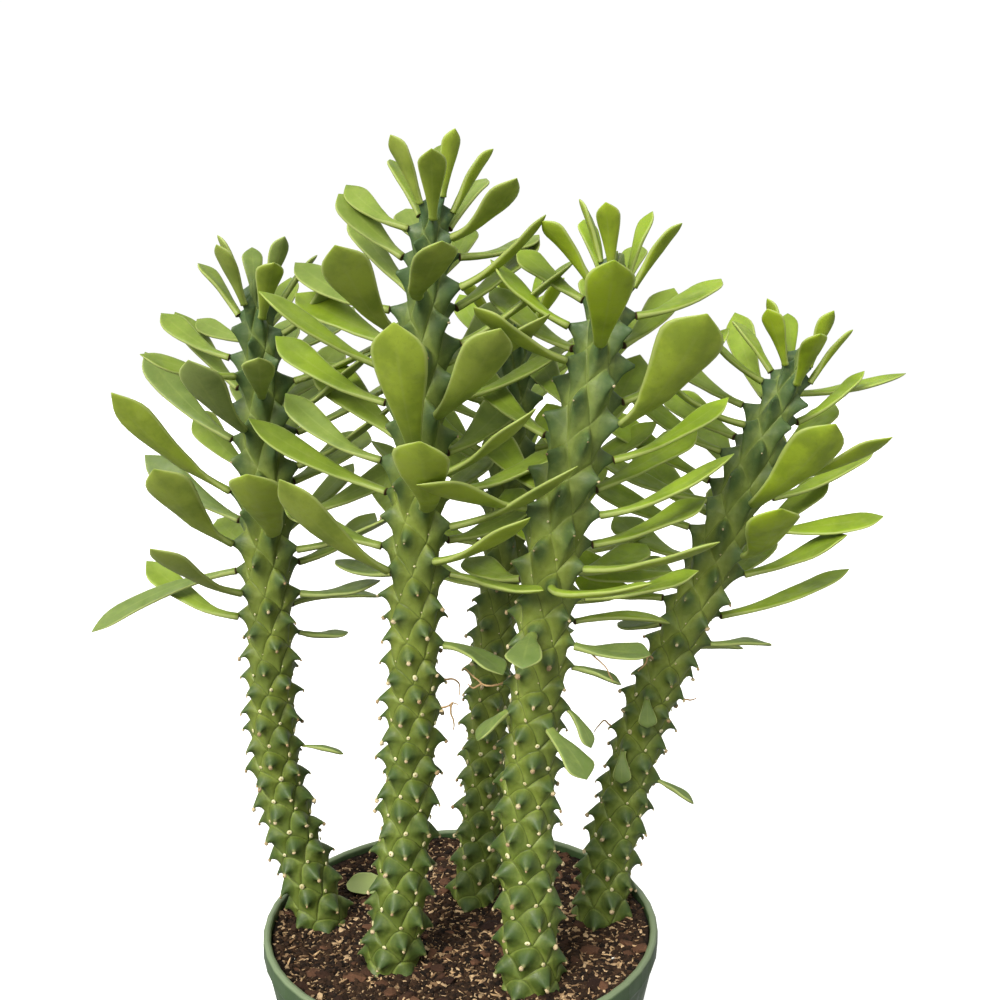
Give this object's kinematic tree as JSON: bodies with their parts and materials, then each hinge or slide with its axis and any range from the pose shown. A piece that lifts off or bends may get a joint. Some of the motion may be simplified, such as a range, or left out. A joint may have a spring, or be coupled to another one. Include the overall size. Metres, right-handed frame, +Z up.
{
  "type": "potted euphorbia",
  "caption": "Potted columnar euphorbia: knobbly upright green stems with crowns of fleshy spoon-shaped leaves, in a round green plastic nursery pot of bark soil.",
  "frame": {"origin": "centre of the pot's flat underside", "axes": "+Z up along the pot's axis; -Y towards the front, +X to the right as seen from the front"},
  "size_m": [0.33, 0.1642, 0.4145],
  "materials": {
    "pot_plastic": "matte green moulded plastic, slightly glossy at the lip",
    "soil_mix": "coarse dry bark and peat mix",
    "stem_skin": "waxy green succulent skin",
    "leaf_skin": "waxy green fleshy leaf"
  },
  "bodies": {
    "root": {"pot": "pot_plastic", "soil": "soil_mix", "stem_1": "stem_skin", "stem_1_leaf_01": "leaf_skin", "stem_1_leaf_02": "leaf_skin", "stem_1_leaf_03": "leaf_skin", "stem_1_leaf_04": "leaf_skin", "stem_1_leaf_05": "leaf_skin", "stem_1_leaf_06": "leaf_skin", "stem_1_leaf_07": "leaf_skin", "stem_1_leaf_08": "leaf_skin", "stem_1_leaf_09": "leaf_skin", "stem_1_leaf_10": "leaf_skin", "stem_1_leaf_11": "leaf_skin", "stem_1_leaf_12": "leaf_skin", "stem_1_leaf_13": "leaf_skin", "stem_2": "stem_skin", "stem_2_leaf_01": "leaf_skin", "stem_2_leaf_02": "leaf_skin", "stem_2_leaf_03": "leaf_skin", "stem_2_leaf_04": "leaf_skin", "stem_2_leaf_05": "leaf_skin", "stem_2_leaf_06": "leaf_skin", "stem_2_leaf_07": "leaf_skin", "stem_2_leaf_08": "leaf_skin", "stem_2_leaf_09": "leaf_skin", "stem_2_leaf_10": "leaf_skin", "stem_2_leaf_11": "leaf_skin", "stem_2_leaf_12": "leaf_skin", "stem_2_leaf_13": "leaf_skin", "stem_2_leaf_14": "leaf_skin", "stem_2_leaf_15": "leaf_skin", "stem_2_leaf_16": "leaf_skin", "stem_2_leaf_17": "leaf_skin", "stem_3": "stem_skin", "stem_3_leaf_01": "leaf_skin", "stem_3_leaf_02": "leaf_skin", "stem_3_leaf_03": "leaf_skin", "stem_3_leaf_04": "leaf_skin", "stem_3_leaf_05": "leaf_skin", "stem_3_leaf_06": "leaf_skin", "stem_3_leaf_07": "leaf_skin", "stem_3_leaf_08": "leaf_skin", "stem_3_leaf_09": "leaf_skin", "stem_3_leaf_10": "leaf_skin", "stem_3_leaf_11": "leaf_skin", "stem_4": "stem_skin", "stem_4_leaf_01": "leaf_skin", "stem_4_leaf_02": "leaf_skin", "stem_4_leaf_03": "leaf_skin", "stem_4_leaf_04": "leaf_skin", "stem_4_leaf_05": "leaf_skin", "stem_4_leaf_06": "leaf_skin", "stem_4_leaf_07": "leaf_skin", "stem_5": "stem_skin", "stem_5_leaf_01": "leaf_skin", "stem_5_leaf_02": "leaf_skin", "stem_5_leaf_03": "leaf_skin", "fallen_leaf": "leaf_skin"}
  },
  "joints": []
}
